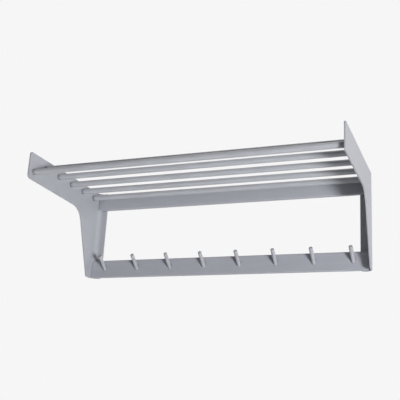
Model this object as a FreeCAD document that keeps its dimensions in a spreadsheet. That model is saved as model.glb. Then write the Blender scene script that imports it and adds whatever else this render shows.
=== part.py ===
import FreeCAD, Part
import math
import operator
import os

import Sketcher

# Wall hat and coat rack: two bent sheet end brackets carry five shelf tubes and a lower
# front rail tube, and two folded channel rails join the brackets at the wall.
# X runs along the shelf, the wall is the plane Y = 0 with the front towards -Y, Z is up.
# The origin is the centre of the four keyhole entries, on the wall.

doc = FreeCAD.newDocument("HatShelf")
sheet = doc.addObject("Spreadsheet::Sheet", "Sizes")

# Driving dimensions in millimetres and degrees
driving_sizes = (
    # Overall size and the end brackets
    ("overall_width", 642, "over the outer faces of the brackets"),
    ("bracket_depth", 290, "front edge of the arm to the wall"),
    ("bracket_height", 203.2, "foot to top edge"),
    ("bracket_sheet", 3, "sheet thickness of the brackets"),
    ("arm_front_height", 55.5, "height of the arm at its front edge"),
    ("arm_root_height", 58.5, "height of the arm where it meets the leg"),
    ("leg_root_depth", 85.5, "wall to the corner under the arm"),
    ("leg_foot_depth", 30, "wall to the front of the foot"),
    ("arm_leg_radius", 40, "inside curve between arm and leg"),
    ("front_top_radius", 5, "top corner of the front edge"),
    ("front_bottom_radius", 8, "bottom corner of the front edge"),
    ("foot_radius", 4, "front corner of the foot"),
    ("flange_width", 25, "wall flange, from the outer face inwards"),
    ("flange_bend_radius", 12, "inside radius of the flange bend"),
    ("flange_corner_radius", 4, "corners of the flange"),
    # Keyholes in the flanges, hidden behind the rails
    ("keyhole_inset", 20, "outer face of the bracket to the keyhole"),
    ("keyhole_drop", 4.5, "middle of a rail down to its keyhole entry"),
    ("keyhole_entry_diameter", 7.5, "entry that a wall screw head passes"),
    ("keyhole_slot_width", 4.5, "slot that the wall screw hangs in"),
    ("keyhole_travel", 7, "entry centre to slot end centre"),
    # Wall rails, folded from sheet and open to the wall
    ("rail_height", 39, "height of both rails"),
    ("rail_depth", 8, "wall flange to the front face of a rail"),
    ("rail_sheet", 1.5, "sheet thickness of the rails"),
    ("rail_bend_radius", 2.5, "outside radius of the rail folds"),
    ("rail_corner_radius", 5, "corners of the rail faces"),
    ("lower_rail_end_gap", 1.8, "end of the lower rail to the bracket"),
    ("upper_rail_end_gap", 3.6, "end of the upper rail to the bracket"),
    ("rail_lip_gap", 0.5, "end of a rail lip to the flange bend"),
    ("lower_rail_rise", 0.7, "foot of the brackets up to the lower rail"),
    ("upper_rail_drop", 3.5, "top edge of the brackets down to the upper rail"),
    # Shelf tubes and the lower front rail tube
    ("tube_diameter", 12.5, "outside diameter of the tubes"),
    ("tube_wall", 1.2, "wall of the tubes"),
    ("tube_end_chamfer", 0.9, "broken edge at the tube ends"),
    ("tube_pitch", 50, "spacing of the shelf tubes"),
    ("rear_tube_setback", 32, "wall to the rear shelf tube"),
    ("shelf_tube_drop", 18, "top edge of the brackets down to the shelf tubes"),
    ("front_tube_inset", 17, "front rail tube to the front and lower edges of the arm"),
    ("spigot_length", 12, "hexagon spigot that a tube end slips over"),
    ("spigot_gap", 0.05, "between the spigot corners and the tube bore, per side"),
    # Pegs
    ("peg_diameter", 8, "round pegs"),
    ("peg_end_margin", 38.5, "outer face of a bracket to the end peg"),
    ("peg_reach", 37, "rail face to peg tip along the peg"),
    ("peg_tip_chamfer", 0.6, "broken edge at the peg tip"),
    ("peg_gap", 0.05, "between peg and its hole, per side"),
    ("peg_back_gap", 1.5, "stub of a peg in its rail to the open back"),
    ("peg_angle", 40, "rise of the pegs in degrees"),
    # Hidden standoffs and screws that hold the rails to the flanges
    ("standoff_width", 5.5, "square standoffs welded inside the rails"),
    ("standoff_drop", 7, "top edge of a rail down to its standoffs"),
    ("screw_diameter", 3, "countersunk rail screws"),
    ("screw_head_diameter", 5.6, "countersunk head"),
    ("screw_head_land", 1.3, "flange left in front of the countersink"),
    ("screw_tip_gap", 0.5, "screw tip to the inside of the rail face"),
    ("screw_socket_size", 2.2, "hexagon socket over its corners"),
    ("screw_socket_depth", 1.1, "hexagon socket"),
    ("screw_gap", 0.05, "around screw shank and head, per side"),
    ("overrun", 5, "how far a cut runs past what it cuts"),
)
shelf_tube_count = 5
peg_count = 8

# Two points are the same place when they lie closer than this share of a shape's diagonal
closeness_share = 1e-6


class Size:
    """A number together with the sheet formula that gives it."""

    def __init__(self, number, formula):
        self.number = number
        self.formula = formula

    def combine(self, other, sign, work, swapped=False):
        other = other if isinstance(other, Size) else Size(other, str(other))
        first, second = (other, self) if swapped else (self, other)
        formula = f"({first.formula} {sign} {second.formula})"
        return Size(work(first.number, second.number), formula)

    def __add__(self, other):
        return self.combine(other, "+", operator.add)

    def __sub__(self, other):
        return self.combine(other, "-", operator.sub)

    def __mul__(self, other):
        return self.combine(other, "*", operator.mul)

    def __rmul__(self, other):
        return self.combine(other, "*", operator.mul, True)

    def __truediv__(self, other):
        return self.combine(other, "/", operator.truediv)

    def __neg__(self):
        return Size(-self.number, f"(-1 * {self.formula})")


def fill_sheet():
    named = {}
    for row, (alias, value, note) in enumerate(driving_sizes, 1):
        sheet.set(f"A{row}", alias)
        sheet.set(f"B{row}", str(value))
        sheet.setAlias(f"B{row}", alias)
        sheet.set(f"C{row}", note)
        named[alias] = Size(value, f"Sizes.{alias}")
    doc.recompute()
    return named


def cosine(angle):
    return Size(math.cos(math.radians(angle.number)), f"cos({angle.formula} * 1 deg)")


def sine(angle):
    return Size(math.sin(math.radians(angle.number)), f"sin({angle.formula} * 1 deg)")


size = fill_sheet()
zero = Size(0, "0")
right_angle = Size(90, "90")
along_x = (1, 0, 0)
along_y = (0, 1, 0)
along_z = (0, 0, 1)

# Places that several pieces share, heights measured from the foot of the brackets
half_width = size["overall_width"] / 2
inner_face = half_width - size["bracket_sheet"]
flange_face = -size["bracket_sheet"]
rail_face = flange_face - size["rail_depth"]
rail_inside = rail_face + size["rail_sheet"]
rail_middle = size["rail_height"] / 2
upper_rail_rise = size["bracket_height"] - size["upper_rail_drop"] - size["rail_height"]
rail_levels = {"lower": size["lower_rail_rise"], "upper": upper_rail_rise}
entry_rise = rail_middle - size["keyhole_drop"]
foot_level = -((size["lower_rail_rise"] + upper_rail_rise) / 2 + entry_rise)
flange_hole = half_width - size["keyhole_inset"]
standoff_rise = size["rail_height"] - size["standoff_drop"]
screw_radius = size["screw_diameter"] / 2
screw_head_height = size["bracket_sheet"] - size["screw_head_land"]
tube_bore = size["tube_diameter"] - 2 * size["tube_wall"]
shelf_tube_rise = size["bracket_height"] - size["shelf_tube_drop"]
arm_front_rise = size["bracket_height"] - size["arm_front_height"]
arm_root_rise = size["bracket_height"] - size["arm_root_height"]

# The stub of a peg ends short of the open back of its rail
peg_radius = size["peg_diameter"] / 2
peg_slope = sine(size["peg_angle"])
peg_level = cosine(size["peg_angle"])
peg_stub_depth = size["rail_depth"] - size["peg_back_gap"] - peg_radius * peg_slope
peg_tail = peg_stub_depth / peg_level


def bind(item, **sizes):
    """Bind properties to sizes; a double underscore in a name stands for a dot."""
    for name, wanted in sizes.items():
        item.setExpression(name.replace("__", "."), wanted.formula)


def place(item, x=zero, y=zero, z=zero):
    bind(item, Placement__Base__x=x, Placement__Base__y=y, Placement__Base__z=z)


def turn(item, axis, angle=right_angle):
    item.Placement.Rotation = FreeCAD.Rotation(FreeCAD.Vector(*axis), angle.number)
    bind(item, Placement__Rotation__Angle=angle)


def new_body(label):
    item = doc.addObject("PartDesign::Body", label)
    item.Label = label
    return item


def new_sketch(body, role, name):
    item = body.newObject("Sketcher::SketchObject", name)
    plane = next(part for part in body.Origin.OriginFeatures if part.Role == role)
    item.AttachmentSupport = (plane, [""])
    item.MapMode = "FlatFace"
    return item


def pin(sketch, edge, end, name, x, y):
    """Hold one point of a sketch at a bound place from the sketch origin."""
    for axis, origin_line, wanted in (("X", -2, x), ("Y", -1, y)):
        if wanted is zero:
            rule = Sketcher.Constraint("PointOnObject", edge, end, origin_line)
            sketch.addConstraint(rule)
            continue
        rule = Sketcher.Constraint(f"Distance{axis}", -1, 1, edge, end, wanted.number)
        sketch.renameConstraint(sketch.addConstraint(rule), f"{name}_{axis}")
        sketch.setExpression(f"Constraints.{name}_{axis}", wanted.formula)


def draw_outline(sketch, corners):
    """Draw a closed outline of straight edges through bound corners."""
    points = [FreeCAD.Vector(x.number, y.number, 0) for x, y in corners]
    following = points[1:] + points[:1]
    for start, end in zip(points, following):
        sketch.addGeometry(Part.LineSegment(start, end), False)
    for index in range(len(points)):
        after = (index + 1) % len(points)
        sketch.addConstraint(Sketcher.Constraint("Coincident", index, 2, after, 1))
    for index, (x, y) in enumerate(corners):
        pin(sketch, index, 1, f"corner{index}", x, y)


def draw_circle(sketch, diameter, name):
    """Draw a circle round the sketch origin with a bound diameter."""
    circle = Part.Circle(FreeCAD.Vector(), FreeCAD.Vector(*along_z), diameter.number / 2)
    edge = sketch.addGeometry(circle, False)
    sketch.addConstraint(Sketcher.Constraint("Coincident", edge, 3, -1, 1))
    rule = Sketcher.Constraint("Diameter", edge, diameter.number)
    sketch.renameConstraint(sketch.addConstraint(rule), name)
    sketch.setExpression(f"Constraints.{name}", diameter.formula)


def extrude(body, kind, name, profile, length, both_ways=False):
    item = body.newObject(f"PartDesign::{kind}", name)
    item.Profile = profile
    item.Midplane = both_ways
    bind(item, Length=length)
    doc.recompute()
    return item


def edge_names(feature, direction, places):
    """Name the straight edges along a direction that pass through bound places."""
    shape = feature.Shape
    nearness = shape.BoundBox.DiagonalLength * closeness_share
    names = []
    for x, y, z in places:
        target = FreeCAD.Vector(x.number, y.number, z.number)
        for index, edge in enumerate(shape.Edges, 1):
            if not isinstance(edge.Curve, Part.Line):
                continue
            along = edge.tangentAt(edge.FirstParameter)
            offset = target - edge.Vertexes[0].Point
            across = offset - along * offset.dot(along)
            parallel = along.cross(FreeCAD.Vector(*direction)).Length < closeness_share
            if parallel and across.Length < nearness:
                names.append(f"Edge{index}")
    return names


def round_edges(body, name, direction, places, radius):
    base = body.Tip
    item = body.newObject("PartDesign::Fillet", name)
    item.Base = (base, edge_names(base, direction, places))
    bind(item, Radius=radius)
    doc.recompute()
    return item


def bore(body, name, diameter, depth, x, y, z, angle=right_angle):
    """Cut a round hole; by default it runs level from its place towards the front."""
    item = body.newObject("PartDesign::SubtractiveCylinder", name)
    bind(item, Radius=diameter / 2, Height=depth)
    turn(item, along_x, angle)
    place(item, x, y, z)
    doc.recompute()
    return item


def cut_box(body, name, x_range, y_range, z_range):
    item = body.newObject("PartDesign::SubtractiveBox", name)
    lows = [low for low, high in (x_range, y_range, z_range)]
    spans = [high - low for low, high in (x_range, y_range, z_range)]
    bind(item, Length=spans[0], Width=spans[1], Height=spans[2])
    place(item, *lows)
    doc.recompute()
    return item


def make_left_bracket():
    """Bent sheet bracket: an arm, a tapering leg and a flange that lies on the wall."""
    body = new_body("left_bracket")
    front = -size["bracket_depth"]
    flange_edge = size["flange_width"] - half_width
    section = new_sketch(body, "XY_Plane", "bracket_section")
    draw_outline(section, (
        (-half_width, front),
        (-inner_face, front),
        (-inner_face, flange_face),
        (flange_edge, flange_face),
        (flange_edge, zero),
        (-half_width, zero),
    ))
    extrude(body, "Pad", "bracket_sheet_pad", section, size["bracket_height"])
    outer_bend = size["flange_bend_radius"] + size["bracket_sheet"]
    round_edges(body, "bend_inside", along_z, [(-inner_face, flange_face, zero)],
                size["flange_bend_radius"])
    round_edges(body, "bend_outside", along_z, [(-half_width, zero, zero)], outer_bend)

    profile = new_sketch(body, "YZ_Plane", "bracket_profile")
    draw_outline(profile, (
        (front - size["overrun"], -size["overrun"]),
        (-size["leg_foot_depth"], -size["overrun"]),
        (-size["leg_foot_depth"], zero),
        (-size["leg_root_depth"], arm_root_rise),
        (front, arm_front_rise),
        (front - size["overrun"], arm_front_rise),
    ))
    width = size["overall_width"] + 2 * size["overrun"]
    extrude(body, "Pocket", "bracket_profile_cut", profile, width, True)
    round_edges(body, "arm_leg_curve", along_x,
                [(zero, -size["leg_root_depth"], arm_root_rise)], size["arm_leg_radius"])
    round_edges(body, "front_top_corner", along_x,
                [(zero, front, size["bracket_height"])], size["front_top_radius"])
    round_edges(body, "front_bottom_corner", along_x,
                [(zero, front, arm_front_rise)], size["front_bottom_radius"])
    round_edges(body, "foot_corner", along_x,
                [(zero, -size["leg_foot_depth"], zero)], size["foot_radius"])
    round_edges(body, "flange_corners", along_y,
                [(flange_edge, zero, zero), (flange_edge, zero, size["bracket_height"])],
                size["flange_corner_radius"])
    for level_name, level in rail_levels.items():
        cut_keyhole(body, level_name, level)
        cut_screw_hole(body, level_name, level + standoff_rise)
    place(body, z=foot_level)
    return body


def cut_keyhole(body, level_name, level):
    """Round entry with a narrower slot above it, through the flange."""
    entry = level + entry_rise
    depth = size["bracket_sheet"] + 2 * size["overrun"]
    slot_side = size["keyhole_slot_width"] / 2
    bore(body, f"{level_name}_keyhole_entry", size["keyhole_entry_diameter"], depth,
         -flange_hole, size["overrun"], entry)
    cut_box(body, f"{level_name}_keyhole_slot",
            (-flange_hole - slot_side, slot_side - flange_hole),
            (flange_face - size["overrun"], size["overrun"]),
            (entry, entry + size["keyhole_travel"]))
    bore(body, f"{level_name}_keyhole_end", size["keyhole_slot_width"], depth,
         -flange_hole, size["overrun"], entry + size["keyhole_travel"])


def cut_screw_hole(body, level_name, rise):
    """Countersunk hole for a rail screw, its wide end at the wall."""
    clear_radius = screw_radius + size["screw_gap"]
    bore(body, f"{level_name}_screw_hole", 2 * clear_radius,
         size["bracket_sheet"] + 2 * size["overrun"], -flange_hole, size["overrun"], rise)
    sink = body.newObject("PartDesign::SubtractiveCone", f"{level_name}_countersink")
    bind(sink, Radius1=size["screw_head_diameter"] / 2 + size["screw_gap"],
         Radius2=clear_radius, Height=screw_head_height)
    turn(sink, along_x)
    place(sink, -flange_hole, zero, rise)
    doc.recompute()


def make_right_bracket(left_bracket):
    """The right bracket is the left one mirrored."""
    item = doc.addObject("Part::Mirroring", "right_bracket")
    item.Label = "right_bracket"
    item.Source = left_bracket
    item.Base = FreeCAD.Vector()
    item.Normal = FreeCAD.Vector(*along_x)
    return item


def make_channel(label, level, rail_end):
    """Channel folded from sheet, open to the wall, with its lips cut short at the ends."""
    body = new_body(f"{label}_channel")
    section = new_sketch(body, "YZ_Plane", f"{label}_section")
    draw_outline(section, (
        (rail_face, zero),
        (flange_face, zero),
        (flange_face, size["rail_height"]),
        (rail_face, size["rail_height"]),
    ))
    block = extrude(body, "Pad", f"{label}_block", section, 2 * rail_end, True)
    folds = [(zero, rail_face, zero), (zero, rail_face, size["rail_height"])]
    block = round_edges(body, f"{label}_folds", along_x, folds, size["rail_bend_radius"])
    channel = body.newObject("PartDesign::Thickness", f"{label}_shell")
    channel.Base = (block, open_faces(block.Shape))
    channel.Reversed = True
    bind(channel, Value=size["rail_sheet"])
    doc.recompute()

    lip_end = inner_face - size["flange_bend_radius"] - size["rail_lip_gap"]
    past_end = half_width + size["overrun"]
    lip_depth = (rail_face + size["rail_bend_radius"], size["overrun"])
    lip_height = (-size["overrun"], size["rail_height"] + size["overrun"])
    cut_box(body, f"{label}_left_lips", (-past_end, -lip_end), lip_depth, lip_height)
    cut_box(body, f"{label}_right_lips", (lip_end, past_end), lip_depth, lip_height)
    place(body, z=foot_level + level)
    return body


def round_corners(label, channel, level, rail_end):
    """Trim a channel to a blank with rounded corners."""
    body = new_body(f"{label}_blank")
    outline = new_sketch(body, "XZ_Plane", f"{label}_outline")
    draw_outline(outline, (
        (-rail_end, zero),
        (rail_end, zero),
        (rail_end, size["rail_height"]),
        (-rail_end, size["rail_height"]),
    ))
    extrude(body, "Pad", f"{label}_blank_pad", outline, 2 * size["overrun"] - 2 * rail_face, True)
    corners = [(x, zero, z) for x in (-rail_end, rail_end) for z in (zero, size["rail_height"])]
    round_edges(body, f"{label}_corners", along_y, corners, size["rail_corner_radius"])
    place(body, z=foot_level + level)
    item = doc.addObject("Part::Common", label)
    item.Label = label
    item.Base = channel
    item.Tool = body
    return item


def open_faces(shape):
    """Name the faces that a channel leaves open: its back and its two ends."""
    names = []
    box = shape.BoundBox
    nearness = box.DiagonalLength * closeness_share
    for index, face in enumerate(shape.Faces, 1):
        if not isinstance(face.Surface, Part.Plane):
            continue
        middle = face.CenterOfMass
        at_end = abs(abs(middle.x) - box.XMax) < nearness
        at_back = abs(middle.y - box.YMax) < nearness
        if at_end or at_back:
            names.append(f"Face{index}")
    return names


def peg_places():
    """Places of the pegs along X, from left to right."""
    first = size["peg_end_margin"] - half_width
    pitch = -2 * first / (peg_count - 1)
    return [first + index * pitch for index in range(peg_count)]


def drill_peg_holes(rail):
    """Sloping holes that the pegs pass through in the lower rail."""
    back = size["overrun"] + peg_tail
    for index, x in enumerate(peg_places(), 1):
        bore(rail, f"peg_hole_{index}", size["peg_diameter"] + 2 * size["peg_gap"],
             back + size["overrun"], x,
             rail_face + back * peg_level,
             rail_middle - back * peg_slope,
             right_angle - size["peg_angle"])


def rim_names(feature, radius):
    """Name the round edges of one radius."""
    nearness = feature.Shape.BoundBox.DiagonalLength * closeness_share
    names = []
    for index, edge in enumerate(feature.Shape.Edges, 1):
        is_round = isinstance(edge.Curve, Part.Circle)
        if is_round and abs(edge.Curve.Radius - radius.number) < nearness:
            names.append(f"Edge{index}")
    return names


def edge_height(feature, name):
    return feature.Shape.getElement(name).CenterOfMass.z


def break_edges(body, name, edges, width):
    base = body.Tip
    item = body.newObject("PartDesign::Chamfer", name)
    item.Base = (base, edges)
    bind(item, Size=width)
    doc.recompute()
    return item


def make_peg(index, x):
    """Round peg that rises towards the front, with a stub inside the rail."""
    body = new_body(f"peg_{index}")
    circle = new_sketch(body, "XY_Plane", f"peg_{index}_circle")
    draw_circle(circle, size["peg_diameter"], "diameter")
    rod = extrude(body, "Pad", f"peg_{index}_rod", circle, size["peg_reach"] + peg_tail)
    tip = max(rim_names(rod, peg_radius), key=lambda name: edge_height(rod, name))
    break_edges(body, f"peg_{index}_tip", [tip], size["peg_tip_chamfer"])
    turn(body, along_x, right_angle - size["peg_angle"])
    place(body, x, rail_face + peg_tail * peg_level,
          foot_level + rail_levels["lower"] + rail_middle - peg_tail * peg_slope)
    return body


def make_tube(label, y, rise):
    body = new_body(label)
    ring = new_sketch(body, "YZ_Plane", f"{label}_ring")
    draw_circle(ring, size["tube_diameter"], "outside")
    draw_circle(ring, tube_bore, "bore")
    wall = extrude(body, "Pad", f"{label}_wall", ring, 2 * inner_face, True)
    rims = rim_names(wall, size["tube_diameter"] / 2)
    break_edges(body, f"{label}_ends", rims, size["tube_end_chamfer"])
    place(body, zero, y, foot_level + rise)
    return body


def tube_places():
    """Depth and height of every tube, the shelf tubes from the wall outwards."""
    places = []
    for index in range(shelf_tube_count):
        depth = -(size["rear_tube_setback"] + index * size["tube_pitch"])
        places.append((f"shelf_tube_{index + 1}", depth, shelf_tube_rise))
    front = size["front_tube_inset"] - size["bracket_depth"]
    places.append(("front_rail_tube", front, arm_front_rise + size["front_tube_inset"]))
    return places


def new_cylinder(name, radius, height, axis, x, y, z):
    item = doc.addObject("Part::Cylinder", name)
    bind(item, Radius=radius, Height=height)
    turn(item, axis)
    place(item, x, y, z)
    return item


def new_hexagon(name, radius, height, axis, x, y, z):
    """Hexagon bar with the given radius over its corners."""
    item = doc.addObject("Part::Prism", name)
    bind(item, Circumradius=radius, Height=height)
    turn(item, axis)
    place(item, x, y, z)
    return item


def cut(name, base, tool):
    item = doc.addObject("Part::Cut", name)
    item.Base = base
    item.Tool = tool
    return item


def group(label, members):
    """Identical small pieces share one node as separate solids."""
    item = doc.addObject("Part::Compound", label)
    item.Label = label
    item.Links = members
    return item


def make_spigots(label, x):
    """Hexagon studs on the inner face of a bracket that the tube ends slip over."""
    radius = tube_bore / 2 - size["spigot_gap"]
    members = []
    for tube_name, y, rise in tube_places():
        members.append(new_hexagon(f"{label}_{tube_name}", radius, size["spigot_length"],
                                   along_y, x, y, foot_level + rise))
    return group(label, members)


def fastening_places():
    """A name, X and height for each standoff and its screw."""
    places = []
    for side, x in (("left", -flange_hole), ("right", flange_hole)):
        for level_name, level in rail_levels.items():
            height = foot_level + level + standoff_rise
            places.append((f"{side}_{level_name}", x, height))
    return places


def make_standoff(name, x, z):
    """Threaded square block between the flange and the inside of the rail face."""
    width = size["standoff_width"]
    length = flange_face - rail_inside
    block = doc.addObject("Part::Box", f"standoff_{name}_block")
    bind(block, Length=width, Width=length, Height=width)
    place(block, x - width / 2, rail_inside, z - width / 2)
    hole = new_cylinder(f"standoff_{name}_bore", screw_radius + size["screw_gap"], length,
                        along_x, x, flange_face, z)
    return cut(f"standoff_{name}", block, hole)


def make_screw(name, x, z):
    """Countersunk screw, its head flush with the wall side of the flange."""
    length = -rail_inside - size["screw_tip_gap"] - screw_head_height
    shank = new_cylinder(f"screw_{name}_shank", screw_radius, length, along_x,
                         x, -screw_head_height, z)
    head = doc.addObject("Part::Cone", f"screw_{name}_head")
    bind(head, Radius1=size["screw_head_diameter"] / 2, Radius2=screw_radius,
         Height=screw_head_height)
    turn(head, along_x)
    place(head, x, zero, z)
    whole = doc.addObject("Part::Fuse", f"screw_{name}_whole")
    whole.Base = head
    whole.Tool = shank
    socket = new_hexagon(f"screw_{name}_socket", size["screw_socket_size"] / 2,
                         size["screw_socket_depth"], along_x, x, zero, z)
    return cut(f"screw_{name}", whole, socket)


left_bracket = make_left_bracket()
nodes = [left_bracket, make_right_bracket(left_bracket)]
for label, level_name in (("peg_rail", "lower"), ("upper_rail", "upper")):
    level = rail_levels[level_name]
    rail_end = inner_face - size[f"{level_name}_rail_end_gap"]
    channel = make_channel(label, level, rail_end)
    if level_name == "lower":
        drill_peg_holes(channel)
    nodes.append(round_corners(label, channel, level, rail_end))
nodes += [make_tube(*tube_place) for tube_place in tube_places()]
nodes += [make_peg(index, x) for index, x in enumerate(peg_places(), 1)]
nodes.append(make_spigots("left_spigots", -inner_face))
nodes.append(make_spigots("right_spigots", inner_face - size["spigot_length"]))
nodes.append(group("rail_standoffs", [make_standoff(*spot) for spot in fastening_places()]))
nodes.append(group("rail_screws", [make_screw(*spot) for spot in fastening_places()]))
doc.recompute()


def check_document():
    for item in doc.Objects:
        if "Invalid" in item.State or "Error" in item.State:
            raise RuntimeError(f"{item.Label} failed: {item.State}")
    for node in nodes:
        if node.Shape.isNull() or not node.Shape.isValid():
            raise RuntimeError(f"{node.Label} has no valid shape")


def write_parts():
    os.makedirs("parts", exist_ok=True)
    for node in nodes:
        node.Shape.exportStep(f"parts/{node.Label}.step")
        print(node.Label, len(node.Shape.Solids), "solids", round(node.Shape.Volume), "mm3")


check_document()
write_parts()
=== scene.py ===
import math

import bpy
from mathutils import Euler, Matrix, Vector

# Wall hat and coat rack of powder-coated steel, hung clear of any wall.
# X runs along the shelf, the wall side is +Y, Z is up, all in metres.

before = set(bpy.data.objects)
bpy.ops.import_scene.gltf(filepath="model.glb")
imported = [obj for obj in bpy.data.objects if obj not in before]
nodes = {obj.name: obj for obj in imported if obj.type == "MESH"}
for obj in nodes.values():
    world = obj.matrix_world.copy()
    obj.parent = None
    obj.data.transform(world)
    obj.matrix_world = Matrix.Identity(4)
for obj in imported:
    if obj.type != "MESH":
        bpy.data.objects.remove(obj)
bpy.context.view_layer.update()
print("frame loaded:", len(nodes), "nodes")

millimetre = 0.001


# Colour and node helpers

def linearColour(hexText):
    channels = [int(hexText[i:i + 2], 16) / 255 for i in (1, 3, 5)]
    linear = [c / 12.92 if c <= 0.04045 else ((c + 0.055) / 1.055) ** 2.4 for c in channels]
    return (*linear, 1.0)


def addNode(tree, kind, inputs=None, **settings):
    node = tree.nodes.new(kind)
    for name, value in settings.items():
        setattr(node, name, value)
    for name, value in (inputs or {}).items():
        if isinstance(value, bpy.types.NodeSocket):
            tree.links.new(value, node.inputs[name])
        else:
            node.inputs[name].default_value = value
    return node


def newMaterial(name):
    material = bpy.data.materials.new(name)
    material.use_nodes = True
    material.node_tree.nodes.clear()
    return material


def finishMaterial(material, shader):
    addNode(material.node_tree, "ShaderNodeOutputMaterial", {"Surface": shader.outputs[0]})
    return material


# Powder coat: silver-grey polyester powder with fine aluminium flake, sprayed and baked.
# The eye gets a satin sheen, a faint orange peel and a softened edge.

powderCoat = {
    "metallic": 0.0,
    "roughnessSpread": 0.05,
    "ior": 1.45,
    "orangePeel": 1.6 * millimetre,  # width of one swell of the orange peel
    "peelDetail": 1.0,
    "peelHeight": 0.004 * millimetre,
    "flake": 0.25 * millimetre,  # drawn about five times the real flake, or it would not show
    "flakeContrast": 0.05,
    "patchSize": 90 * millimetre,  # slow drift in film thickness
    "patchDetail": 3.0,
    "lineSpan": (0.3, 0.7),  # the range that the noise of the steel's lines fills
    "lineDetail": 1.0,
    "cornerShadeSamples": 8,
    "edgeSamples": 6,
}

# Painted shade: the coat's colour is darkened in tight corners and where parts meet, where shade
# falls.
# Each batch says how far out of a corner that shade reaches, between which shares of open sky,
# and how dark it gets.
# The steel's draw and roll lines show faintly through the coat. They are drawn coarser than
# the real ones, or they would not show.

tubeBatch = {
    "colour": "#B0B3B9",
    "shadeColour": "#A9ABB1",
    "roughness": 0.36,  # drawn tube is smoother than sheet, so its coat is glossier
    "edgeRadius": 0.45 * millimetre,  # the coat rounds every thin cut edge
    "paintedShadeReach": 12 * millimetre,
    "paintedShadeSky": (0.2, 0.9),
    "paintedShadeDepth": 0.1,
    "lineSize": (45 * millimetre, 2 * millimetre, 2 * millimetre),  # along the drawn tube
    "lineContrast": 0.09,
}

railBatch = {
    "colour": "#A9ABB3",
    "shadeColour": "#A2A4AC",
    "roughness": 0.5,
    "edgeRadius": 0.45 * millimetre,
    "paintedShadeReach": 25 * millimetre,
    "paintedShadeSky": (0.1, 0.8),
    "paintedShadeDepth": 0.55,
    "lineSize": (60 * millimetre, 3 * millimetre, 3 * millimetre),  # along the rolled strip
    "lineContrast": 0.025,
}

# Painted shade: the peg rail's coat is a darker copy of the rail coat, standing in for the lesser
# light that falls on it.
pegRailShadedCopy = {
    "colour": "#A7A9B2",
    "shadeColour": "#A0A2AB",
    "roughness": 0.5,
    "edgeRadius": 0.45 * millimetre,
    "paintedShadeReach": 6 * millimetre,
    "paintedShadeSky": (0.15, 0.8),
    "paintedShadeDepth": 0.25,
    "lineSize": (60 * millimetre, 3 * millimetre, 3 * millimetre),
    "lineContrast": 0.025,
}

pegBatch = {
    "colour": "#A9ABB1",  # solid rod, a touch paler and less blue than the sheet pieces
    "shadeColour": "#A2A4AA",
    "roughness": 0.42,
    "edgeRadius": 0.45 * millimetre,
    "paintedShadeReach": 6 * millimetre,
    "paintedShadeSky": (0.15, 0.8),
    "paintedShadeDepth": 0.25,
    "lineSize": (9 * millimetre, 9 * millimetre, 9 * millimetre),  # rod shows only faint patches
    "lineContrast": 0.025,
}

sheetBatch = {
    "colour": "#A9ABB2",
    "shadeColour": "#A2A4AB",
    "roughness": 0.5,
    "edgeRadius": 1.1 * millimetre,  # the thick bracket sheet is tumbled before it is coated
    "paintedShadeReach": 6 * millimetre,
    "paintedShadeSky": (0.15, 0.8),
    "paintedShadeDepth": 0.6,
    "lineSize": (60 * millimetre, 60 * millimetre, 4 * millimetre),  # along the arm
    "lineContrast": 0.012,
}


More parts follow.
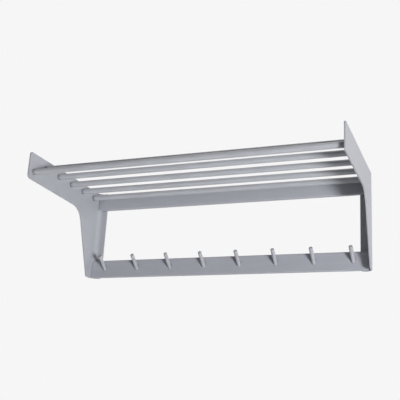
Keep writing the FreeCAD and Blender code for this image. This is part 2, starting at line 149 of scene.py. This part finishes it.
def satinPowderCoat(name, batch):
    coat = powderCoat
    material = newMaterial(name)
    tree = material.node_tree
    place = addNode(tree, "ShaderNodeTexCoord").outputs["Object"]
    patches = addNode(tree, "ShaderNodeTexNoise",
                      {"Vector": place, "Scale": 1 / coat["patchSize"],
                       "Detail": coat["patchDetail"]})
    flakes = addNode(tree, "ShaderNodeTexVoronoi", {"Vector": place, "Scale": 1 / coat["flake"]})
    peel = addNode(tree, "ShaderNodeTexNoise",
                   {"Vector": place, "Scale": 1 / coat["orangePeel"],
                    "Detail": coat["peelDetail"]})
    tint = addNode(tree, "ShaderNodeMix",
                   {"Factor": patches.outputs["Fac"], "A": linearColour(batch["shadeColour"]),
                    "B": linearColour(batch["colour"])}, data_type="RGBA")
    glint = addNode(tree, "ShaderNodeMapRange",
                    {"Value": flakes.outputs["Color"],
                     "To Min": 1 - coat["flakeContrast"], "To Max": 1 + coat["flakeContrast"]})
    # Painted shade: the colour darkens where ambient occlusion finds other surfaces close by, in
    # corners and beside touching parts.
    corners = addNode(tree, "ShaderNodeAmbientOcclusion", {"Distance": batch["paintedShadeReach"]},
                      samples=coat["cornerShadeSamples"])
    closed, opened = batch["paintedShadeSky"]
    paintedCornerShade = addNode(tree, "ShaderNodeMapRange",
                    {"Value": corners.outputs["AO"], "From Min": closed, "From Max": opened,
                     "To Min": batch["paintedShadeDepth"], "To Max": 1.0})
    stretched = addNode(tree, "ShaderNodeMapping",
                        {"Vector": place, "Scale": [1 / size for size in batch["lineSize"]]})
    lines = addNode(tree, "ShaderNodeTexNoise",
                    {"Vector": stretched.outputs["Vector"], "Scale": 1.0,
                     "Detail": coat["lineDetail"]})
    faintest, strongest = coat["lineSpan"]
    streaks = addNode(tree, "ShaderNodeMapRange",
                      {"Value": lines.outputs["Fac"], "From Min": faintest, "From Max": strongest,
                       "To Min": 1 - batch["lineContrast"], "To Max": 1 + batch["lineContrast"]})
    flakesAndPaintedShade = addNode(tree, "ShaderNodeMath",
                     {0: glint.outputs["Result"], 1: paintedCornerShade.outputs["Result"]},
                     operation="MULTIPLY")
    shade = addNode(tree, "ShaderNodeMath",
                    {0: flakesAndPaintedShade.outputs[0], 1: streaks.outputs["Result"]},
                    operation="MULTIPLY")
    colour = addNode(tree, "ShaderNodeVectorMath",
                     {"Vector": tint.outputs["Result"], "Scale": shade.outputs[0]},
                     operation="SCALE")
    roughness = addNode(tree, "ShaderNodeMapRange",
                        {"Value": patches.outputs["Fac"],
                         "To Min": batch["roughness"] - coat["roughnessSpread"],
                         "To Max": batch["roughness"] + coat["roughnessSpread"]})
    edge = addNode(tree, "ShaderNodeBevel", {"Radius": batch["edgeRadius"]},
                   samples=coat["edgeSamples"])
    surface = addNode(tree, "ShaderNodeBump",
                      {"Height": peel.outputs["Fac"], "Distance": coat["peelHeight"],
                       "Normal": edge.outputs["Normal"]})
    shader = addNode(tree, "ShaderNodeBsdfPrincipled",
                     {"Base Color": colour.outputs["Vector"],
                      "Metallic": coat["metallic"],
                      "Roughness": roughness.outputs["Result"],
                      "IOR": coat["ior"],
                      "Normal": surface.outputs["Normal"]})
    return finishMaterial(material, shader)


# Zinc plate: bright electroplated screws and weld blocks, with a faint passivated cloudiness.

zincPlate = {
    "colour": "#C9CBCC",
    "cloudColour": "#BDBFBA",
    "metallic": 1.0,
    "roughness": 0.3,
    "cloudSize": 3 * millimetre,
    "cloudDetail": 4.0,
}


def brightZincPlate():
    plate = zincPlate
    material = newMaterial("bright zinc plate on steel")
    tree = material.node_tree
    place = addNode(tree, "ShaderNodeTexCoord").outputs["Object"]
    clouds = addNode(tree, "ShaderNodeTexNoise",
                     {"Vector": place, "Scale": 1 / plate["cloudSize"],
                      "Detail": plate["cloudDetail"]})
    tint = addNode(tree, "ShaderNodeMix",
                   {"Factor": clouds.outputs["Fac"], "A": linearColour(plate["cloudColour"]),
                    "B": linearColour(plate["colour"])}, data_type="RGBA")
    shader = addNode(tree, "ShaderNodeBsdfPrincipled",
                     {"Base Color": tint.outputs["Result"],
                      "Metallic": plate["metallic"],
                      "Roughness": plate["roughness"]})
    return finishMaterial(material, shader)


tubeMaterial = satinPowderCoat("satin powder coat on drawn tube", tubeBatch)
railMaterial = satinPowderCoat("satin powder coat on folded rail", railBatch)
pegRailMaterial = satinPowderCoat("satin powder coat on peg rail", pegRailShadedCopy)
pegMaterial = satinPowderCoat("satin powder coat on pegs", pegBatch)
sheetMaterial = satinPowderCoat("satin powder coat on bracket sheet", sheetBatch)
zincMaterial = brightZincPlate()
# The first entry that a piece's name starts with counts, so peg_rail stands before peg.
finishes = {"shelf_tube": tubeMaterial, "front_rail_tube": tubeMaterial,
            "upper_rail": railMaterial, "peg_rail": pegRailMaterial, "peg": pegMaterial,
            "left": sheetMaterial, "right": sheetMaterial,  # the brackets and their spigots
            "rail_screws": zincMaterial, "rail_standoffs": zincMaterial}
for name, node in nodes.items():
    start = next(key for key in finishes if name.startswith(key))
    node.data.materials.clear()
    node.data.materials.append(finishes[start])
print("materials assigned")


# Camera: a long lens low on the right, looking up at the rack

camera = {
    "place": (0.5414, -1.4465, -0.4181),
    "turn": (106.942, -2.974, 20.804),  # degrees about X, Y and Z
    "lens": 65.77,  # millimetres, as is the sensor width
    "sensorWidth": 36,
    "shift": (-0.0278, 0.0231),
    "nearest": 0.01,
}


def addCamera():
    data = bpy.data.cameras.new("studio camera")
    data.lens = camera["lens"]
    data.sensor_width = camera["sensorWidth"]
    data.shift_x, data.shift_y = camera["shift"]
    data.clip_start = camera["nearest"]
    item = bpy.data.objects.new("studio camera", data)
    bpy.context.scene.collection.objects.link(item)
    item.location = camera["place"]
    item.rotation_euler = Euler([math.radians(angle) for angle in camera["turn"]])
    bpy.context.scene.camera = item


addCamera()
print("camera set")


# Studio: a key soft box low on the right, one overhead, two fills and a strip behind, over a
# pale floor. The world is pale to the camera and in reflections, and nearly dark otherwise. The
# floor fades into it, and lights the rack only with what the lamps give it.

studio = {
    "background": "#F6F6F6",
    "ambient": 0.02,  # strength of the world as a light
    "floorLevel": -1.75,
    "floorSize": 12.0,
    "floorColour": "#E9E9E9",
    "floorWhitening": 0.75,
    "floorFade": (0.8, 2.8),  # from here to there the floor turns into the background
}

lamps = {
    "key soft box": {"place": (2.44, -2.33, -1.05), "target": (0.0, -0.05, 0.0),
                     "size": (0.7, 0.7), "power": 114.0},
    "overhead soft box": {"place": (0.0, 0.2, 2.4), "target": (0.0, 0.0, 0.0),
                          "size": (2.4, 2.0), "power": 20.0},
    "left rear fill": {"place": (-2.4, 1.8, 0.6), "target": (0.0, 0.0, 0.0),
                       "size": (1.8, 1.8), "power": 40.0},
    "right rear fill": {"place": (2.4, 1.8, 0.6), "target": (0.0, 0.0, 0.0),
                        "size": (1.8, 1.8), "power": 17.5},
    "rear strip": {"place": (0.0, 3.0, 0.2), "target": (0.0, 0.0, 0.0),
                   "size": (0.5, 2.0), "power": 24.0},
}


def addLamp(name, lamp):
    data = bpy.data.lights.new(name, "AREA")
    data.shape = "RECTANGLE"
    data.size, data.size_y = lamp["size"]
    data.energy = lamp["power"]
    item = bpy.data.objects.new(name, data)
    bpy.context.scene.collection.objects.link(item)
    item.location = lamp["place"]
    direction = Vector(lamp["target"]) - Vector(lamp["place"])
    item.rotation_euler = direction.to_track_quat("-Z", "Y").to_euler()


def seenDirectly(tree):
    path = addNode(tree, "ShaderNodeLightPath")
    mirrored = addNode(tree, "ShaderNodeMath",
                       {0: path.outputs["Is Camera Ray"], 1: path.outputs["Is Glossy Ray"]},
                       operation="MAXIMUM")
    either = addNode(tree, "ShaderNodeMath",
                     {0: mirrored.outputs[0], 1: path.outputs["Is Transmission Ray"]},
                     operation="MAXIMUM")
    return either.outputs[0]


def addSurround():
    world = bpy.data.worlds.new("pale surround")
    bpy.context.scene.world = world
    world.use_nodes = True
    tree = world.node_tree
    tree.nodes.clear()
    white = linearColour(studio["background"])
    shown = addNode(tree, "ShaderNodeBackground", {"Color": white, "Strength": 1.0})
    lit = addNode(tree, "ShaderNodeBackground", {"Color": white, "Strength": studio["ambient"]})
    choice = addNode(tree, "ShaderNodeMixShader",
                     {"Fac": seenDirectly(tree), 1: lit.outputs[0], 2: shown.outputs[0]})
    addNode(tree, "ShaderNodeOutputWorld", {"Surface": choice.outputs[0]})


def paleFloor():
    material = newMaterial("matt pale studio floor")
    tree = material.node_tree
    paint = addNode(tree, "ShaderNodeBsdfDiffuse", {"Color": linearColour(studio["floorColour"])})
    glow = addNode(tree, "ShaderNodeEmission", {"Color": linearColour(studio["background"])})
    nearest, farthest = studio["floorFade"]
    place = addNode(tree, "ShaderNodeTexCoord").outputs["Object"]
    sideways = addNode(tree, "ShaderNodeVectorMath", {0: place, 1: (1.0, 1.0, 0.0)},
                       operation="MULTIPLY")
    reach = addNode(tree, "ShaderNodeVectorMath", {0: sideways.outputs["Vector"]},
                    operation="LENGTH")
    fade = addNode(tree, "ShaderNodeMapRange",
                   {"Value": reach.outputs["Value"], "From Min": nearest, "From Max": farthest,
                    "To Min": studio["floorWhitening"], "To Max": 1.0},
                   interpolation_type="SMOOTHSTEP")
    share = addNode(tree, "ShaderNodeMath", {0: seenDirectly(tree), 1: fade.outputs["Result"]},
                    operation="MULTIPLY")
    mix = addNode(tree, "ShaderNodeMixShader",
                  {"Fac": share.outputs[0], 1: paint.outputs[0], 2: glow.outputs[0]})
    return finishMaterial(material, mix)


def addFloor():
    half = studio["floorSize"] / 2
    level = studio["floorLevel"]
    corners = [(-half, -half, level), (half, -half, level), (half, half, level),
               (-half, half, level)]
    mesh = bpy.data.meshes.new("studio floor")
    mesh.from_pydata(corners, [], [(0, 1, 2, 3)])
    mesh.materials.append(paleFloor())
    floor = bpy.data.objects.new("studio_floor", mesh)
    bpy.context.scene.collection.objects.link(floor)


for name, lamp in lamps.items():
    addLamp(name, lamp)
addSurround()
addFloor()
bpy.context.scene.view_settings.view_transform = "Standard"
print("studio lit")
